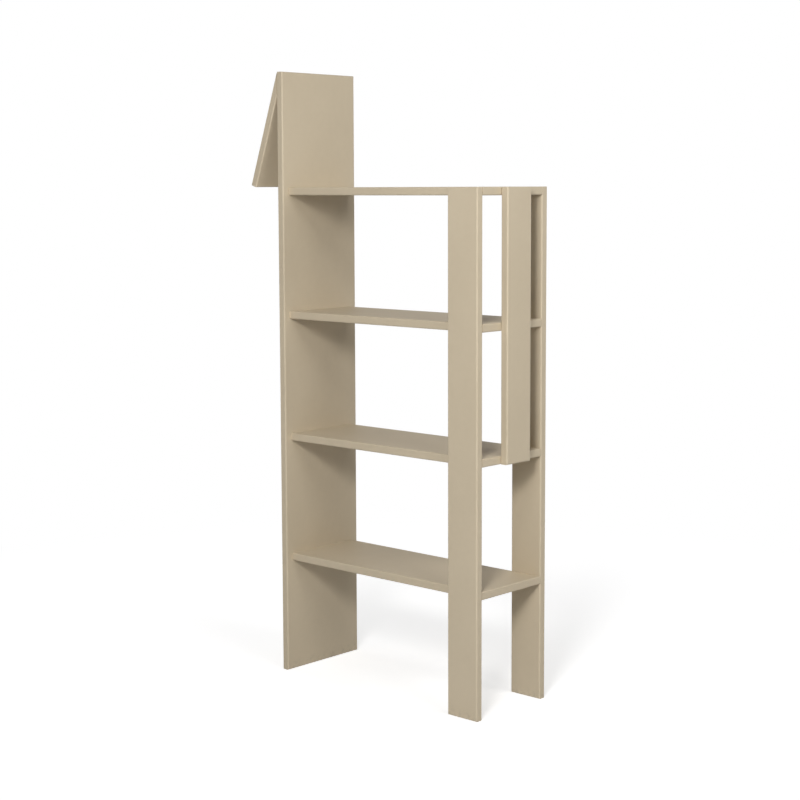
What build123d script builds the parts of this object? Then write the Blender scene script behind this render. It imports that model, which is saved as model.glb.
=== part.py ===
from build123d import *
import math
import os

# A children's bookshelf in the outline of a giraffe. One tall end board is the neck, a sloped board
# on its outer face is the head, two boards at the other end are the hind legs, and a short board
# between them is the tail. Four shelves join the neck to the legs.
# While it is drawn, X = 0 is the outer face of the neck, Y = 0 is mid depth with the front at -Y,
# and Z = 0 is the floor. All lengths are in millimetres.

# Boards
board = 18                   # thickness of every board
neck_height = 1400
shelf_reach = 600            # outer face of the neck to the far ends of the shelves
shelf_depth = 200
leg_height = 1137            # also the height of the top shelf's upper face
leg_width = 82
tail_width = 80
bottom_shelf_height = 262    # floor to the underside of the bottom shelf
head_length = 272            # along the outer face of the head
head_angle = 19.3            # slope of the head from the vertical, in degrees
edge_round = 3               # rounding of the painted edges
rod_sides = 12               # rods and holes shut inside a joint are drawn with flat sides
cam_sides = 24               # and so are the cams and their holes

# Cam joints: a bolt in one board is gripped by a cam let into the underside of a shelf
cam_distance = 30            # from the joint face to the axis of the cam
cam_radius = 7.5
cam_height = 13.4
cam_roof = 1.0               # metal left over the hollow of the cam
cam_offset = 0.5             # the hollow is off centre by this much, which draws the bolt in
cam_wall = 2.3               # mean wall of the hollow
cam_mouth_angle = 140        # from the bolt round to where its head goes in, before the cam is turned
driver_length = 9            # the cross for the driver
driver_width = 1.4
driver_depth = 2
bolt_radius = 2.5
bolt_head_radius = 3.2
bolt_head_length = 2.6
bolt_grip = 11               # length held in the board that the bolt is screwed into
bolt_rise = 9                # from a shelf's underside, where its cams are let in, up to their bolts
neck_cam_inset = 34          # from a shelf's long edges to the cam joints at the neck

# Glued wooden dowels
dowel_radius = 4
dowel_in_panel = 11.5        # length of a dowel in the upright board
dowel_in_shelf = 18.5        # length of a dowel in the shelf
dowel_in_head = 9.5          # length of a dowel in the bevel of the head
head_dowel_rise = 9          # from the lower edge of the bevel up to the dowels
head_dowel_inset = 40        # from the faces of the head to the outer dowels

# Wall bracket, on the neck's outer face behind the head
sheet = 2
bracket_height = 40
bracket_foot = 34            # along the neck
bracket_wing = 28            # along the wall
bracket_bend = 2             # inner radius of the bend
bracket_corner = 5
bracket_rise = 24            # from the lower end of the head up to the bracket
wall_hole_radius = 2.5
wall_hole_spacing = 22
screw_spacing = 22
screw_radius = 1.75
screw_in_neck = 12
screw_head_radius = 3.6
screw_head_height = 2.2

# Clearances
hole_clearance = 0.1         # radial, round what sits in a drilled hole
end_clearance = 0.5          # past the end of a dowel or a bolt in a blind hole
head_clearance = 0.3         # round the head of a bolt where it passes or turns
space_over_cam = 0.4         # from the roof of a cam to the end of its hole

# Places that follow from the sizes above
half_shelf = shelf_depth / 2
half_depth = half_shelf + board
rounding = min(edge_round, board / 3)
rod_flat = math.cos(math.pi / rod_sides)    # distance of a flat side, over that of a corner
top_shelf_height = leg_height - board
shelf_pitch = (top_shelf_height - bottom_shelf_height) / 3
undersides = [top_shelf_height - i * shelf_pitch for i in range(4)]
shelf_names = ["top_shelf", "upper_shelf", "lower_shelf", "bottom_shelf"]
tail_foot = undersides[2]
leg_middle = shelf_reach - leg_width / 2
slope = math.radians(head_angle)
bevel_length = board / math.sin(slope)
head_foot = neck_height - head_length * math.cos(slope) - board * math.sin(slope)
corner_loss = rounding * (math.cos(slope) + math.sin(slope) - 1)
head_overhang = head_length * math.sin(slope) - corner_loss
origin_x = (shelf_reach + board - head_overhang) / 2


def block(low, high):
    """A plain box between two opposite corners."""
    size = [b - a for a, b in zip(low, high)]
    middle = [(a + b) / 2 for a, b in zip(low, high)]
    return Pos(*middle) * Box(*size)


def rounded_board(low, high, thickness_axis, square_end=None):
    """A board between two corners. The edges of its two broad faces are rounded, as a router leaves
    them, except along an X end that stays square because it butts against another board."""
    blank = block(low, high)
    edges = blank.edges() - blank.edges().filter_by(thickness_axis)
    if square_end is not None:
        edges = edges.filter_by(lambda edge: abs(edge.center().X - square_end) > 0.01)
    return fillet(edges, rounding)


def frame_at(point, into):
    """A joint's own frame: its Z runs into the second board, and its X points up."""
    return Plane(origin=point, x_dir=(0, 0, 1), z_dir=into)


def rod(radius, start, end):
    """A round bar along the Z of its frame."""
    return Pos(0, 0, start) * Cylinder(radius, end - start, align=(Align.CENTER, Align.CENTER, Align.MIN))


def faceted_rod(radius, start, end, sides=rod_sides):
    """A many-sided bar along the Z of its frame, which keeps repeated fastenings light."""
    return Pos(0, 0, start) * extrude(RegularPolygon(radius, sides), end - start)


# Cam joints, drawn in the joint's own frame. The shelf's underside lies bolt_rise below it.

hollow_radius = cam_radius - cam_wall
head_seat = math.sqrt(hollow_radius**2 - bolt_head_radius**2) - cam_offset - hole_clearance
head_start = cam_distance - head_seat


def cam_bolt():
    """A steel bolt: a shank, screwed into the first board, and a head that the cam grips."""
    shank = faceted_rod(bolt_radius, -bolt_grip, head_start)
    return shank + faceted_rod(bolt_head_radius, head_start, head_start + bolt_head_length)


def bolt_pilot():
    return faceted_rod(bolt_radius + hole_clearance, -bolt_grip - end_clearance, 0)


def bolt_bore():
    return faceted_rod(bolt_head_radius + head_clearance, 0, cam_distance)


def cam():
    """A cast cam with a hollow off its centre, a mouth, a slot round its side and a driver cross.
    Its axis is Z, its visible face is at Z = 0 and the bolt comes in along +X."""
    hollow_half = bolt_head_radius + head_clearance
    slot_half = bolt_radius + head_clearance
    hollow = faceted_rod(hollow_radius / rod_flat, bolt_rise - hollow_half, cam_height - cam_roof)
    hollow = Pos(cam_offset, 0, 0) * hollow
    slot_start = -math.degrees(math.asin(slot_half / (hollow_radius - cam_offset)))
    sector = (Align.NONE, Align.NONE, Align.CENTER)
    slot = Cylinder(cam_radius + 1, 2 * slot_half, arc_size=cam_mouth_angle - slot_start, align=sector)
    slot = Pos(0, 0, bolt_rise) * Rot(0, 0, 180 + slot_start) * slot
    mouth = Rot(0, 0, 180 + cam_mouth_angle) * Rot(0, 90, 0) * faceted_rod(hollow_half, 0, cam_radius + 1)
    mouth = Pos(0, 0, bolt_rise) * mouth
    cross = [Rot(0, 0, turn) * Box(driver_length, driver_width, 2 * driver_depth) for turn in (45, 135)]
    return faceted_rod(cam_radius, 0, cam_height, cam_sides) - hollow - slot - mouth - cross[0] - cross[1]


def upright_on_underside():
    """The cam's own frame within the joint's: its axis stands up from the shelf's underside."""
    return Plane(origin=(-bolt_rise, 0, cam_distance), x_dir=(0, 0, 1), z_dir=(1, 0, 0))


def cam_hole():
    depth = cam_height + space_over_cam
    return upright_on_underside() * faceted_rod(cam_radius + hole_clearance, 0, depth, cam_sides)


# Dowels, drawn in the joint's own frame

def dowel(into):
    return faceted_rod(dowel_radius, -dowel_in_panel, into)


def dowel_hole(into):
    return faceted_rod(dowel_radius + hole_clearance, -dowel_in_panel - end_clearance, into + end_clearance)


# Where the joints are: one list of frames for each upright board, with the shelf that each meets.
# The rise is from the shelf's underside: cams set the bolts' height, and dowels lie at mid thickness.

dowel_rise = board / 2


def neck_joints(across, rise):
    return [(s, frame_at((board, y, undersides[s] + rise), (1, 0, 0))) for s in range(4) for y in across]


def leg_joints(side, shelves, rise):
    """side is -1 for the front leg and 1 for the rear one."""
    edge = side * half_shelf
    return [(s, frame_at((leg_middle, edge, undersides[s] + rise), (0, -side, 0))) for s in shelves]


def tail_joints(shelves, rise):
    return [(s, frame_at((shelf_reach, 0, undersides[s] + rise), (-1, 0, 0))) for s in shelves]


def head_joints():
    spread = half_depth - head_dowel_inset
    height = neck_height - bevel_length + head_dowel_rise
    return [frame_at((0, y, height), (-1, 0, 0)) for y in (-spread, 0, spread)]


neck_cam_spread = half_shelf - neck_cam_inset
cam_joints = {
    "neck": neck_joints((-neck_cam_spread, neck_cam_spread), bolt_rise),
    "front_leg": leg_joints(-1, [0, 3], bolt_rise),
    "rear_leg": leg_joints(1, [0, 3], bolt_rise),
    "tail": tail_joints([0, 2], bolt_rise),
}
dowel_joints = {
    "neck": neck_joints((0,), dowel_rise),
    "front_leg": leg_joints(-1, [1, 2], dowel_rise),
    "rear_leg": leg_joints(1, [1, 2], dowel_rise),
    "tail": tail_joints([1], dowel_rise),
}


def drilled(panel, name):
    """An upright board with its pilot holes and dowel holes."""
    for _, joint in cam_joints[name]:
        panel -= joint * bolt_pilot()
    for _, joint in dowel_joints[name]:
        panel -= joint * dowel_hole(dowel_in_shelf)
    return panel


# Boards

def shelf(number):
    low = (board, -half_shelf, undersides[number])
    high = (shelf_reach, half_shelf, undersides[number] + board)
    panel = rounded_board(low, high, Axis.Z, square_end=board)
    for joints in cam_joints.values():
        for joint in [frame for s, frame in joints if s == number]:
            panel = panel - joint * bolt_bore() - joint * cam_hole()
    for joints in dowel_joints.values():
        for joint in [frame for s, frame in joints if s == number]:
            panel -= joint * dowel_hole(dowel_in_shelf)
    return panel


def neck_panel():
    panel = rounded_board((0, -half_depth, 0), (board, half_depth, neck_height), Axis.X)
    panel = drilled(panel, "neck")
    for joint in head_joints():
        panel -= joint * dowel_hole(dowel_in_head)
    for hole in bracket_screw_frames():
        panel -= hole * faceted_rod(screw_radius + hole_clearance, -screw_in_neck - end_clearance, 0)
    return panel


def leg(name, side):
    faces = sorted((side * half_shelf, side * half_depth))
    low = (shelf_reach - leg_width, faces[0], 0)
    high = (shelf_reach, faces[1], leg_height)
    return drilled(rounded_board(low, high, Axis.Y), name)


def tail_board():
    low = (shelf_reach, -tail_width / 2, tail_foot)
    high = (shelf_reach + board, tail_width / 2, leg_height)
    return drilled(rounded_board(low, high, Axis.X), "tail")


def head_board():
    """A rounded board tilted about the top corner of the neck, then sawn flush with the neck."""
    blank = rounded_board((0, -half_depth, -head_length), (board, half_depth, bevel_length), Axis.X)
    tilted = Pos(0, 0, neck_height) * Rot(0, head_angle, 0) * blank
    beyond = head_length + board
    past_neck = block((0, -beyond, head_foot - board), (beyond, beyond, neck_height + beyond))
    thin_tip = block((-beyond, -beyond, neck_height - rounding), (beyond, beyond, neck_height + beyond))
    panel = tilted - past_neck - thin_tip
    for joint in head_joints():
        panel -= joint * dowel_hole(dowel_in_head)
    return panel


# Wall bracket: bent sheet steel whose wing lies in the plane of the wall

bracket_middle = head_foot + bracket_rise + bracket_height / 2


def bracket_screw_frames():
    """Frames on the bracket's foot with Z pointing away from the neck."""
    y = half_depth - bracket_foot + bracket_corner + screw_head_radius
    offsets = (-screw_spacing / 2, screw_spacing / 2)
    return [frame_at((0, y, bracket_middle + dz), (-1, 0, 0)) for dz in offsets]


def wall_hole_frames():
    x = -bracket_wing + bracket_corner + wall_hole_radius + sheet
    offsets = (-wall_hole_spacing / 2, wall_hole_spacing / 2)
    return [frame_at((x, half_depth - sheet, bracket_middle + dz), (0, 1, 0)) for dz in offsets]


def wall_bracket():
    low_z = bracket_middle - bracket_height / 2
    high_z = bracket_middle + bracket_height / 2
    foot = block((-sheet, half_depth - bracket_foot, low_z), (0, half_depth, high_z))
    wing = block((-bracket_wing, half_depth - sheet, low_z), (0, half_depth, high_z))
    angle = foot + wing
    upright = angle.edges().filter_by(Axis.Z)
    inner = upright.sort_by_distance((-sheet, half_depth - sheet, bracket_middle))[0]
    angle = fillet(inner, bracket_bend)
    outer = angle.edges().filter_by(Axis.Z).sort_by_distance((0, half_depth, bracket_middle))[0]
    angle = fillet(outer, bracket_bend + sheet)
    foot_ends = angle.edges().filter_by(Axis.X).group_by(Axis.Y)[0]
    wing_ends = angle.edges().filter_by(Axis.Y).group_by(Axis.X)[0]
    angle = fillet(foot_ends + wing_ends, bracket_corner)
    for hole in bracket_screw_frames():
        angle -= hole * faceted_rod(screw_radius + head_clearance, 0, sheet)
    for hole in wall_hole_frames():
        angle -= hole * rod(wall_hole_radius, 0, sheet)
    return angle


def bracket_screw():
    """A pan-headed wood screw with its head on the bracket and its shank in the neck."""
    head = rod(screw_head_radius, sheet, sheet + screw_head_height)
    return head + faceted_rod(screw_radius, -screw_in_neck, sheet)


# Writing the sub-parts

def write(name, *solids):
    """One file per named sub-part, moved so that the origin is under the middle of the whole."""
    shift = Pos(-origin_x, 0, 0)
    placed = [shift * solid for piece in solids for solid in piece.solids()]
    shape = placed[0] if len(placed) == 1 else Compound(children=placed)
    export_step(shape, f"parts/{name}.step")


def write_boards():
    write("neck_panel", neck_panel())
    write("head_board", head_board())
    write("front_leg", leg("front_leg", -1))
    write("rear_leg", leg("rear_leg", 1))
    write("tail_board", tail_board())
    for number, name in enumerate(shelf_names):
        write(name, shelf(number))


def write_fastenings():
    bolt = cam_bolt()
    lock = upright_on_underside() * cam()
    for name, joints in cam_joints.items():
        write(f"{name}_cam_bolts", *[joint * bolt for _, joint in joints])
    for number, name in enumerate(shelf_names):
        frames = [frame for joints in cam_joints.values() for s, frame in joints if s == number]
        write(f"{name}_cams", *[frame * lock for frame in frames])
    for name, joints in dowel_joints.items():
        write(f"{name}_dowels", *[joint * dowel(dowel_in_shelf) for _, joint in joints])
    write("head_dowels", *[joint * dowel(dowel_in_head) for joint in head_joints()])
    write("wall_bracket", wall_bracket())
    write("bracket_screws", *[frame * bracket_screw() for frame in bracket_screw_frames()])


os.makedirs("parts", exist_ok=True)
write_boards()
write_fastenings()
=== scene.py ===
import math

import bmesh
import bpy
from mathutils import Euler, Matrix, Vector

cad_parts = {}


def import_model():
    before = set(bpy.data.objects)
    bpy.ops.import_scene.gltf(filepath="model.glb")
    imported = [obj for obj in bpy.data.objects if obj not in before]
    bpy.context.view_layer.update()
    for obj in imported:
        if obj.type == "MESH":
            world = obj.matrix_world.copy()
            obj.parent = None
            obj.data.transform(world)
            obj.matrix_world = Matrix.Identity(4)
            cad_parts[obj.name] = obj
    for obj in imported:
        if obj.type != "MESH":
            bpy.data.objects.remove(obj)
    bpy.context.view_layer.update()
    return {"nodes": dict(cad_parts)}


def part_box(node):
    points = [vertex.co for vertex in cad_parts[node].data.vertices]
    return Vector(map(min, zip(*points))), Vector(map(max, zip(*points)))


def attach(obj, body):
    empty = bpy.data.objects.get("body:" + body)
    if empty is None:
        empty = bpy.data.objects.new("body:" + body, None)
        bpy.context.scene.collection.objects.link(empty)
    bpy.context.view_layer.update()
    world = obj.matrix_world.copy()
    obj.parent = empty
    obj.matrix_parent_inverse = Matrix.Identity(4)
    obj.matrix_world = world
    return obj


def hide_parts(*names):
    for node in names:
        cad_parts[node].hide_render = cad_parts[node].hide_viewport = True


# Looks for a painted children's bookshelf in the outline of a giraffe: paint on the boards, metal on
# the fastenings, beech in the dowels, and a pale studio. Lengths are in metres, Z is up, the floor is 0.

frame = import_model()
nodes = frame["nodes"]
bpy.ops.object.select_all(action="DESELECT")

X_AXIS, Y_AXIS, Z_AXIS = 0, 1, 2

HEAD_SLOPE = math.radians(19.3)     # the head board's slope from the vertical
HEAD_LENGTH = 0.272
BOARD = 0.018
BURIED = 0.06                       # added to an end that butts on another board, so that it shows no wear

# Colours, linear
PAINT = (0.560, 0.475, 0.345)
PAINT_DEEP = (0.532, 0.449, 0.323)
PAINT_RUBBED = (0.640, 0.560, 0.430)
FLOOR_DIRT = (0.330, 0.285, 0.215)
ZINC = (0.46, 0.46, 0.47)
ZINC_SKIN = (0.28, 0.28, 0.29)
PLATE = (0.50, 0.50, 0.49)
PLATE_DULL = (0.30, 0.30, 0.30)
BEECH = (0.62, 0.42, 0.24)
BEECH_PORE = (0.40, 0.24, 0.12)
FLOOR = (0.70, 0.70, 0.70)
WHITE = (1.0, 1.0, 1.0)
BLACK = (0.0, 0.0, 0.0)

MID_NOISE = 0.5                     # what a noise texture gives on average


def opaque(colour):
    return (*colour, 1.0)


class Socket:
    """One output of a shader node, on which sums can be written."""

    def __init__(self, tree, output):
        self.tree = tree
        self.output = output

    def maths(self, operation, *values, clamp=False):
        settings = {"operation": operation, "use_clamp": clamp}
        return self.tree.node("ShaderNodeMath", settings, dict(enumerate(values)))

    def __add__(self, other):
        return self.maths("ADD", self, other)

    def __sub__(self, other):
        return self.maths("SUBTRACT", self, other)

    def __rsub__(self, other):
        return self.maths("SUBTRACT", other, self)

    def __mul__(self, other):
        return self.maths("MULTIPLY", self, other)

    __radd__ = __add__
    __rmul__ = __mul__

    def clamped(self):
        return self.maths("ADD", self, 0.0, clamp=True)

    def size(self):
        return self.maths("ABSOLUTE", self)

    def lesser(self, other):
        return self.maths("MINIMUM", self, other)

    def greater(self, other):
        return self.maths("MAXIMUM", self, other)

    def wave(self):
        return self.maths("SINE", self)

    def root(self):
        return self.maths("SQRT", self)

    def fade(self, start, end):
        """0 at start and 1 at end, eased in between."""
        settings = {"interpolation_type": "SMOOTHSTEP"}
        inputs = {"Value": self, "From Min": start, "From Max": end}
        return self.tree.node("ShaderNodeMapRange", settings, inputs)


class Tree:
    """The node tree of a material or of the world."""

    def __init__(self, data):
        self.data = data
        data.use_nodes = True
        self.nodes = data.node_tree.nodes
        self.links = data.node_tree.links

    def feed(self, target, value):
        if isinstance(value, Socket):
            self.links.new(value.output, target)
        else:
            target.default_value = value

    def node(self, kind, settings, inputs, output=0):
        made = self.nodes.new(kind)
        for name, value in settings.items():
            setattr(made, name, value)
        for key, value in inputs.items():
            self.feed(made.inputs[key], value)
        return Socket(self, made.outputs[output])

    def axes(self, vector):
        parts = self.node("ShaderNodeSeparateXYZ", {}, {0: vector}).output.node
        return [Socket(self, output) for output in parts.outputs]


class Material(Tree):
    """A node-based material, with one Principled shader to start with."""

    def __init__(self, name):
        super().__init__(bpy.data.materials.new(name))
        self.shader = self.nodes["Principled BSDF"]
        self.position = self.node("ShaderNodeTexCoord", {}, {}, output="Object")

    def set(self, **values):
        """Feeds the Principled shader's sockets, such as Base_Color."""
        for name, value in values.items():
            self.feed(self.shader.inputs[name.replace("_", " ")], value)

    def mixed(self, factor, first, second):
        """The first colour at a factor of 0 and the second at 1."""
        first, second = [c if isinstance(c, Socket) else opaque(c) for c in (first, second)]
        return self.node("ShaderNodeMix", {"data_type": "RGBA"}, {0: factor, 6: first, 7: second}, output=2)

    def placed(self, location=(0, 0, 0), rotation=(0, 0, 0), scale=(1, 1, 1)):
        inputs = {0: self.position, "Location": location, "Rotation": rotation, "Scale": scale}
        return self.node("ShaderNodeMapping", {"vector_type": "POINT"}, inputs)

    def noise(self, scale, detail, vector=None):
        inputs = {"Vector": vector or self.position, "Scale": scale, "Detail": detail}
        return self.node("ShaderNodeTexNoise", {}, inputs)

    def stretched(self, across, lengthwise, along):
        """The position scaled by one figure along an axis, and by another across it."""
        scale = [across] * 3
        scale[along] = lengthwise
        return self.placed(scale=scale)

    def bump(self, height, distance, strength, below=None):
        inputs = {"Height": height, "Distance": distance, "Strength": strength}
        if below:
            inputs["Normal"] = below
        return self.node("ShaderNodeBump", {}, inputs)


def wear(material, *names):
    """Puts a material on CAD nodes."""
    for name in names:
        slots = nodes[name].data.materials
        slots.clear()
        slots.append(material)


# Paint on the boards. A texture is its scale and detail, a fade is where it starts and ends, and a bump
# is its height in metres and its strength.

CLOUD, MOTTLE, SPECKLE = (5.0, 3.0), (70.0, 4.0), (900.0, 2.0)
CLOUD_SHARE, MOTTLE_SHARE = 0.7, 0.3
DEEP_TO_PALE = (0.30, 0.70)

RUBBED_PATCHES, PATCH_EDGE = (38.0, 3.0), (0.46, 0.70)
RUBBED_WIDTH = (0.0026, 0.0008)     # distance from the board's edge
RUBBED_MOST = 0.24

DIRT_SPOTS, SPOT_EDGE = (120.0, 4.0), (0.42, 0.75)
DIRT_HEIGHT = (0.030, 0.002)        # above the floor
DIRT_MOST = 0.35

NARROW_FACE = (0.0012, 0.0032)      # distance from the broad faces
SHELF_TOP = (0.0006, 0.0001)        # distance below the shelf's upper face
BOOK_LINES, LINE_EDGE = (1.0, 3.0), (0.60, 0.76)
LINES_STRETCH = (520, 9, 9)
LINE_AREAS, AREA_EDGE = (7.0, 2.0), (0.45, 0.65)
LINES_MOST = 0.14

PAINT_ROUGHNESS = 0.60
MOTTLE_ROUGHER, NARROW_ROUGHER, DIRT_ROUGHER = 0.10, 0.07, 0.5
RUBBED_SMOOTHER, LINES_SMOOTHER = 0.22, 0.12
PAINT_IOR = 1.47

SPRAY, SPRAY_BUMP = (420.0, 2.0), (0.00015, 0.40)
EDGE_GRAIN_BUMP = (0.00003, 0.35)
GRAIN_BROAD, GRAIN_NARROW = 0.5, 1.5    # on every face, and added on the narrow ones


def painted_board(name, low, high, thin, turn=0.0, pivot=(0, 0, 0)):
    """Matt paint sprayed on fibreboard. low and high are the board's corners in its own frame, which
    is turned about Y from the pivot, and thin is the axis of its thickness."""
    paint = Material(name + "_paint")
    middle = (Vector(low) + Vector(high)) / 2
    half = (Vector(high) - Vector(low)) / 2
    unturn = Euler((0, -turn, 0))
    place = -(unturn.to_matrix() @ Vector(pivot)) - middle
    own = paint.placed(location=place, rotation=unturn)
    across = paint.axes(own)
    within = [half[i] - across[i].size() for i in range(3)]
    a, b, c = within
    from_edge = a.lesser(b).greater(a.greater(b).lesser(c))

    cloud = paint.noise(*CLOUD)
    mottle = paint.noise(*MOTTLE)
    speckle = paint.noise(*SPECKLE)
    shade = (cloud * CLOUD_SHARE + mottle * MOTTLE_SHARE).fade(*DEEP_TO_PALE)
    colour = paint.mixed(shade, PAINT_DEEP, PAINT)

    # Edges are rubbed where hands and the floor reach them, in patches
    patches = paint.noise(*RUBBED_PATCHES).fade(*PATCH_EDGE)
    rubbed = from_edge.fade(*RUBBED_WIDTH) * patches * RUBBED_MOST
    colour = paint.mixed(rubbed, colour, PAINT_RUBBED)

    # The foot picks up a little dirt
    height = paint.axes(paint.position)[Z_AXIS]
    dirt = height.fade(*DIRT_HEIGHT) * paint.noise(*DIRT_SPOTS).fade(*SPOT_EDGE) * DIRT_MOST
    colour = paint.mixed(dirt, colour, FLOOR_DIRT)

    # Fibreboard drinks more paint on its narrow faces, which come out drier
    narrow = within[thin].fade(*NARROW_FACE)
    roughness = PAINT_ROUGHNESS + (mottle - MID_NOISE) * MOTTLE_ROUGHER + narrow * NARROW_ROUGHER
    roughness = roughness - rubbed * RUBBED_SMOOTHER + dirt * DIRT_ROUGHER

    if thin == Z_AXIS:
        # Books slid in and out leave fine rubbed lines on a shelf's upper face
        start, end = [half[Z_AXIS] - below for below in SHELF_TOP]
        upper = across[Z_AXIS].fade(start, end)
        lines = paint.noise(*BOOK_LINES, paint.placed(scale=LINES_STRETCH)).fade(*LINE_EDGE)
        lines = lines * upper * paint.noise(*LINE_AREAS).fade(*AREA_EDGE)
        colour = paint.mixed(lines * LINES_MOST, colour, PAINT_RUBBED)
        roughness = roughness - lines * LINES_SMOOTHER

    # The skin of the spray, and over it the grain of the routed edges
    skin = paint.bump(paint.noise(*SPRAY), *SPRAY_BUMP)
    skin = paint.bump(speckle * (narrow * GRAIN_NARROW + GRAIN_BROAD), *EDGE_GRAIN_BUMP, below=skin)
    paint.set(Base_Color=colour, Roughness=roughness.clamped(), Normal=skin, IOR=PAINT_IOR)
    return paint.data


THIN_AXIS = {
    "neck_panel": X_AXIS,
    "tail_board": X_AXIS,
    "front_leg": Y_AXIS,
    "rear_leg": Y_AXIS,
    "top_shelf": Z_AXIS,
    "upper_shelf": Z_AXIS,
    "lower_shelf": Z_AXIS,
    "bottom_shelf": Z_AXIS,
}


def finish_boards():
    for name, thin in THIN_AXIS.items():
        low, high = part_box(name)
        if thin == Z_AXIS:
            low.x -= BURIED         # a shelf butts on the neck
        wear(painted_board(name, low, high, thin), name)
    low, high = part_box("head_board")
    top_corner = (high.x, 0, high.z)
    own_low, own_high = (0, low.y, -HEAD_LENGTH), (BOARD, high.y, BURIED)
    wear(painted_board("head_board", own_low, own_high, X_AXIS, HEAD_SLOPE, top_corner), "head_board")


# Metal and wood of the fastenings

ZINC_GRAIN, ZINC_FLOW = (2600.0, 3.0), (310.0, 4.0)
GRAIN_SHARE, FLOW_SHARE, ZINC_BRIGHT = 0.4, 0.6, (0.42, 0.62)
ZINC_ROUGHNESS, ZINC_BRIGHT_SMOOTHER, ZINC_GRAIN_ROUGHER = 0.52, 0.16, 0.12
ZINC_GRAIN_BUMP, ZINC_FLOW_BUMP = (0.00006, 0.5), (0.00015, 0.3)

DRAWN, DRAWN_ACROSS, DRAWN_LENGTHWISE = (1.0, 4.0), 2400.0, 160.0
BLOOM, BLOOM_SHARE, DRAWN_SHARE, PLATE_CLEAN = (260.0, 4.0), 0.7, 0.3, (0.36, 0.60)
PLATE_ROUGHNESS, CLEAN_SMOOTHER, DRAWN_ROUGHER = 0.40, 0.14, 0.16
DRAWN_BUMP, THREAD_BUMP = (0.00003, 0.35), (0.0003, 0.8)
THREAD_PITCH = 0.0013

WOOD_GRAIN, GRAIN_ACROSS, GRAIN_LENGTHWISE = (1.0, 5.0), 900.0, 70.0
FLECKS, FLECK_EDGE, FLECKS_MOST = (2.4, 3.0), (0.60, 0.72), 0.5
GRAIN_EDGE, GRAIN_MOST = (0.30, 0.70), 0.45
WOOD_ROUGHNESS, WOOD_GRAIN_ROUGHER, WOOD_BUMP = 0.62, 0.15, (0.00008, 0.5)


def cast_zinc():
    """Die-cast cams: a dull grained skin, brighter where it has been handled."""
    zinc = Material("cast_zinc")
    grain = zinc.noise(*ZINC_GRAIN)
    flow = zinc.noise(*ZINC_FLOW)
    bright = (flow * FLOW_SHARE + grain * GRAIN_SHARE).fade(*ZINC_BRIGHT)
    roughness = ZINC_ROUGHNESS - bright * ZINC_BRIGHT_SMOOTHER + (grain - MID_NOISE) * ZINC_GRAIN_ROUGHER
    skin = zinc.bump(grain, *ZINC_GRAIN_BUMP, below=zinc.bump(flow, *ZINC_FLOW_BUMP))
    zinc.set(Base_Color=zinc.mixed(bright, ZINC_SKIN, ZINC), Metallic=1.0, Roughness=roughness, Normal=skin)
    return zinc.data


def zinc_plate(name, along, thread_pitch=None):
    """Bright zinc plate over steel, drawn along one axis, with a thread where there is a pitch."""
    plate = Material(name)
    drawn = plate.noise(*DRAWN, plate.stretched(DRAWN_ACROSS, DRAWN_LENGTHWISE, along))
    bloom = plate.noise(*BLOOM)
    clean = (bloom * BLOOM_SHARE + drawn * DRAWN_SHARE).fade(*PLATE_CLEAN)
    roughness = PLATE_ROUGHNESS - clean * CLEAN_SMOOTHER + (drawn - MID_NOISE) * DRAWN_ROUGHER
    skin = plate.bump(drawn, *DRAWN_BUMP)
    if thread_pitch:
        turns = plate.axes(plate.position)[along] * (2 * math.pi / thread_pitch)
        skin = plate.bump(turns.wave(), *THREAD_BUMP, below=skin)
    colour = plate.mixed(clean, PLATE_DULL, PLATE)
    plate.set(Base_Color=colour, Metallic=1.0, Roughness=roughness, Normal=skin)
    return plate.data


def beech(name, along):
    """Turned beech with its fine dark flecks along the dowel."""
    wood = Material(name)
    grain = wood.noise(*WOOD_GRAIN, wood.stretched(GRAIN_ACROSS, GRAIN_LENGTHWISE, along))
    flecks = wood.noise(*FLECKS, wood.stretched(GRAIN_ACROSS, GRAIN_LENGTHWISE, along)).fade(*FLECK_EDGE)
    dark = grain.fade(*GRAIN_EDGE) * GRAIN_MOST + flecks * FLECKS_MOST
    colour = wood.mixed(dark, BEECH, BEECH_PORE)
    skin = wood.bump(grain, *WOOD_BUMP)
    wood.set(Base_Color=colour, Roughness=WOOD_ROUGHNESS + grain * WOOD_GRAIN_ROUGHER, Normal=skin)
    return wood.data


def finish_fastenings():
    wear(cast_zinc(), "top_shelf_cams", "upper_shelf_cams", "lower_shelf_cams", "bottom_shelf_cams")
    wear(zinc_plate("bolt_plate_x", X_AXIS, THREAD_PITCH), "neck_cam_bolts", "tail_cam_bolts")
    wear(zinc_plate("bolt_plate_y", Y_AXIS, THREAD_PITCH), "front_leg_cam_bolts", "rear_leg_cam_bolts")
    bracket_screws(zinc_plate("screw_plate", X_AXIS))
    wear(zinc_plate("bracket_plate", Z_AXIS), "wall_bracket")
    wear(beech("beech_x", X_AXIS), "neck_dowels", "tail_dowels", "head_dowels")
    wear(beech("beech_y", Y_AXIS), "front_leg_dowels", "rear_leg_dowels")


# The bracket's two screws, with domed heads, a cross for the driver and a pointed shank

SCREW_HEAD = 0.0036                 # radius
SCREW_SIDES = 40
SCREW_RIM = 0.0013
DOME_STEPS = ((0.0007, 0.0005), (0.0009, 0.0003), (0.0010, 0.0001))     # inwards and outwards
DOME = sum(outwards for _, outwards in DOME_STEPS)
SHANK = 0.00175                     # radius
POINT_LENGTH = 0.0035
POINT_WIDTH = 0.15                  # of the shank, at the tip
CROSS_REACH, CROSS_WIDTH, CROSS_DEPTH = 0.0042, 0.0008, 0.0014
CROSS_TAPER = 0.45
FACING = 0.9                        # the least part of a face's normal along the axis it is picked by
SMOOTH_BELOW = math.radians(35)


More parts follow.
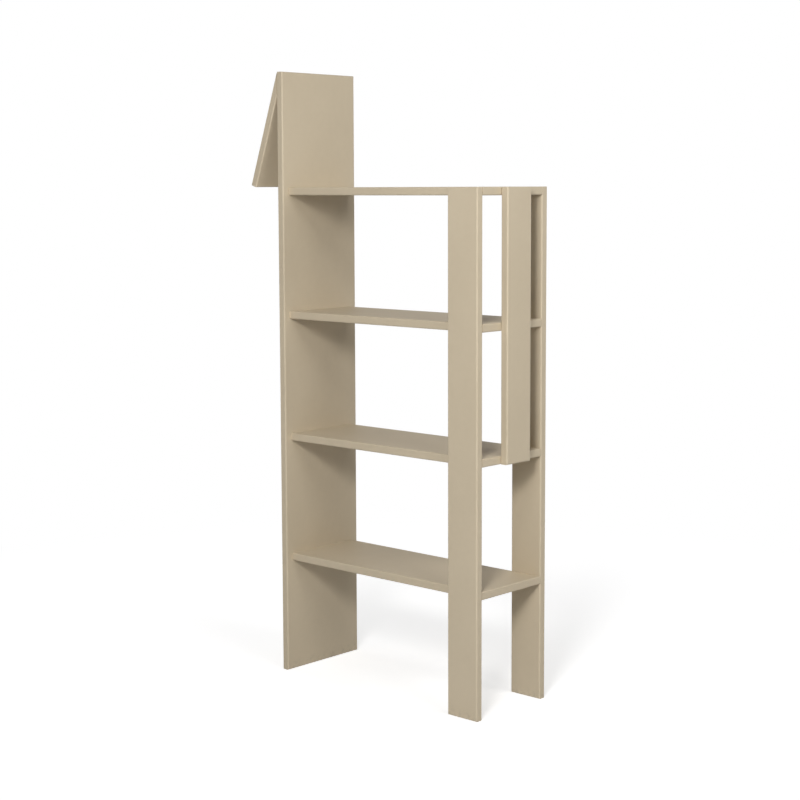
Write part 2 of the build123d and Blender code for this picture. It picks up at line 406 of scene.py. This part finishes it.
def pick(test):
    """Selects those faces of the edited mesh that pass a test, and nothing else."""
    bpy.ops.mesh.select_mode(type="FACE")
    bpy.ops.mesh.select_all(action="DESELECT")
    shape = bmesh.from_edit_mesh(bpy.context.object.data)
    for face in shape.faces:
        face.select_set(test(face))
    bmesh.update_edit_mesh(bpy.context.object.data)


def place_in_mesh():
    bpy.ops.object.transform_apply(location=True, rotation=True, scale=True)


def cross_arm(crown, sideways):
    """One arm of the driver's cross, narrower towards its bottom."""
    across = (CROSS_WIDTH, CROSS_REACH) if sideways else (CROSS_REACH, CROSS_WIDTH)
    bpy.ops.mesh.primitive_cube_add(size=1.0, location=crown)
    arm = bpy.context.object
    arm.scale = (2 * CROSS_DEPTH, *across)
    place_in_mesh()
    bpy.ops.object.mode_set(mode="EDIT")
    pick(lambda face: face.normal.x > FACING)
    bpy.ops.transform.resize(value=(1.0, CROSS_TAPER, CROSS_TAPER))
    bpy.ops.object.mode_set(mode="OBJECT")
    return arm


def bracket_screw(name, seat, y, z, tip):
    """A screw from its seat on the bracket to its tip in the neck, both given along X."""
    bpy.ops.object.select_all(action="DESELECT")
    rim_middle = (seat - SCREW_RIM / 2, y, z)
    bpy.ops.mesh.primitive_cylinder_add(vertices=SCREW_SIDES, radius=SCREW_HEAD, depth=SCREW_RIM,
                                        location=rim_middle, rotation=(0, math.pi / 2, 0))
    screw = bpy.context.object
    screw.name = name
    place_in_mesh()
    bpy.ops.object.mode_set(mode="EDIT")
    pick(lambda face: face.normal.x < -FACING)
    for inwards, outwards in DOME_STEPS:
        bpy.ops.mesh.inset(thickness=inwards)
        bpy.ops.transform.translate(value=(-outwards, 0, 0))
    pick(lambda face: face.normal.x > FACING)
    bpy.ops.mesh.inset(thickness=SCREW_HEAD - SHANK)
    for length in (tip - POINT_LENGTH - seat, POINT_LENGTH):
        bpy.ops.mesh.extrude_region_move(TRANSFORM_OT_translate={"value": (length, 0, 0)})
    bpy.ops.transform.resize(value=(1.0, POINT_WIDTH, POINT_WIDTH))
    bpy.ops.object.mode_set(mode="OBJECT")
    crown = (seat - SCREW_RIM - DOME, y, z)
    for sideways in (False, True):
        arm = cross_arm(crown, sideways)
        bpy.ops.object.select_all(action="DESELECT")
        bpy.context.view_layer.objects.active = screw
        cut = screw.modifiers.new("cross", "BOOLEAN")
        cut.operation, cut.solver, cut.object = "DIFFERENCE", "EXACT", arm
        bpy.ops.object.modifier_apply(modifier=cut.name)
        bpy.data.objects.remove(arm)
    screw.select_set(True)
    bpy.ops.object.shade_smooth_by_angle(angle=SMOOTH_BELOW)
    screw.select_set(False)
    return screw


def bracket_screws(material):
    low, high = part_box("bracket_screws")
    sheet_face = low.x + SCREW_RIM + DOME
    middle = (low.y + high.y) / 2
    for name, z in (("lower_screw", low.z + SCREW_HEAD), ("upper_screw", high.z - SCREW_HEAD)):
        screw = bracket_screw(name, sheet_face, middle, z, high.x)
        screw.data.materials.append(material)
        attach(screw, "root")
        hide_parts("bracket_screws")


# Studio

FLOOR_HALF = 30.0
FLOOR_ROUGHNESS = 0.9
WHITE_FROM, WHITE_AT = 0.6, 1.9     # metres out: the floor starts to fade to white, and is white
OPEN_FLOOR = (0.450, 0.105, -0.085)     # about its tone in the lamps' light: middle, and more per metre
SHOWN_AS = 1.03                     # the tone that the open floor is lifted to where the camera looks at it
WORLD_LIGHT = 0.07

LAMPS_AIM = (0.0, 0.0, 0.75)
# name: degrees round from the front towards the right, degrees up, metres away, size, watts.
# The left and rear lamps light the sides that the photograph doesn't show.
LAMPS = {
    "key": (30, 25, 4.5, 1.0, 73.0),
    "high_key": (30, 45, 4.5, 1.0, 19.5),
    "near_key": (35, 20, 2.6, 0.5, 15.0),
    "right_front": (72, 30, 3.0, 0.9, 15.0),
    "right": (95, 25, 3.0, 0.9, 15.0),
    "left": (270, 2, 4.5, 1.4, 36.0),
    "rear": (180, 2, 4.5, 1.4, 30.0),
}


def seen_directly(tree):
    """1 for the rays that show the studio itself, whether straight, in metal or through glass."""
    rays = tree.node("ShaderNodeLightPath", {}, {}).output.node
    kinds = ("Is Camera Ray", "Is Glossy Ray", "Is Transmission Ray")
    camera_ray, glossy_ray, transmission_ray = [Socket(tree, rays.outputs[kind]) for kind in kinds]
    return (camera_ray + glossy_ray + transmission_ray).clamped()


def floor():
    """A pale floor that the camera sees as white, darker only where the object shades it."""
    bpy.ops.mesh.primitive_plane_add(size=2 * FLOOR_HALF)
    plane = bpy.context.object
    plane.name = "floor"
    surface = Material("studio_floor")
    surface.set(Base_Color=opaque(FLOOR), Roughness=FLOOR_ROUGHNESS)
    x, y, _ = surface.axes(surface.position)
    far = (x * x + y * y).root().fade(WHITE_FROM, WHITE_AT)
    shown = seen_directly(surface)
    middle, along_x, along_y = OPEN_FLOOR
    lift = (SHOWN_AS - (x * along_x + y * along_y + middle)).clamped()
    lift = surface.node("ShaderNodeEmission", {}, {"Color": surface.mixed(lift, BLACK, WHITE)})
    plain = surface.node("ShaderNodeEmission", {}, {"Color": opaque(WHITE)})
    lit = Socket(surface, surface.shader.outputs[0])
    lifted = surface.node("ShaderNodeAddShader", {}, {0: lit, 1: lift})
    near = surface.node("ShaderNodeMixShader", {}, {0: shown, 1: lit, 2: lifted})
    whole = surface.node("ShaderNodeMixShader", {}, {0: far * shown, 1: near, 2: plain})
    surface.links.new(whole.output, surface.nodes["Material Output"].inputs["Surface"])
    plane.data.materials.append(surface.data)


def world():
    sky = bpy.data.worlds.new("studio")
    bpy.context.scene.world = sky
    tree = Tree(sky)
    light = tree.nodes["Background"]
    light.inputs["Color"].default_value = opaque(WHITE)
    light.inputs["Strength"].default_value = WORLD_LIGHT
    shown = tree.node("ShaderNodeBackground", {}, {"Color": opaque(WHITE), "Strength": 1.0})
    both = {0: seen_directly(tree), 1: Socket(tree, light.outputs[0]), 2: shown}
    whole = tree.node("ShaderNodeMixShader", {}, both)
    tree.links.new(whole.output, tree.nodes["World Output"].inputs["Surface"])


def lamps():
    for name, (round_by, up_by, away, size, watts) in LAMPS.items():
        light = bpy.data.lights.new(name, "AREA")
        light.shape, light.size, light.energy = "DISK", size, watts
        round_by, up_by = math.radians(round_by), math.radians(up_by)
        out = math.cos(up_by)
        towards = Vector((math.sin(round_by) * out, -math.cos(round_by) * out, math.sin(up_by)))
        lamp = bpy.data.objects.new(name, light)
        lamp.location = Vector(LAMPS_AIM) + towards * away
        lamp.rotation_euler = towards.to_track_quat("Z", "Y").to_euler()
        lamp.visible_camera = False
        bpy.context.scene.collection.objects.link(lamp)


# Camera, matched to the photograph's edges. Pixels are of an image 800 wide and high.

IMAGE = 800.0
SENSOR = 36.0                       # millimetres wide
FOCAL_PIXELS = 1667.3
CENTRE_ROW = 368.0                  # further up fits the edges better, but cuts the head off from the sides
CAMERA_AT = (2.55983, -2.77004, 1.13540)
YAW, PITCH, ROLL = math.radians(42.65), math.radians(6.17), math.radians(-0.21)


def camera():
    data = bpy.data.cameras.new("camera")
    data.sensor_width = SENSOR
    data.lens = FOCAL_PIXELS / IMAGE * data.sensor_width
    data.shift_y = (CENTRE_ROW - IMAGE / 2) / IMAGE
    ahead = Vector((-math.sin(YAW) * math.cos(PITCH), math.cos(YAW) * math.cos(PITCH), -math.sin(PITCH)))
    right = Vector((math.cos(YAW), math.sin(YAW), 0.0))
    up = right.cross(ahead)
    right, up = (right * math.cos(ROLL) + up * math.sin(ROLL), up * math.cos(ROLL) - right * math.sin(ROLL))
    made = bpy.data.objects.new("camera", data)
    turn = Matrix((right, up, -ahead)).transposed().to_4x4()
    made.matrix_world = Matrix.Translation(CAMERA_AT) @ turn
    bpy.context.scene.collection.objects.link(made)
    bpy.context.scene.camera = made


finish_boards()
finish_fastenings()
floor()
world()
lamps()
camera()
bpy.context.scene.view_settings.view_transform = "Standard"
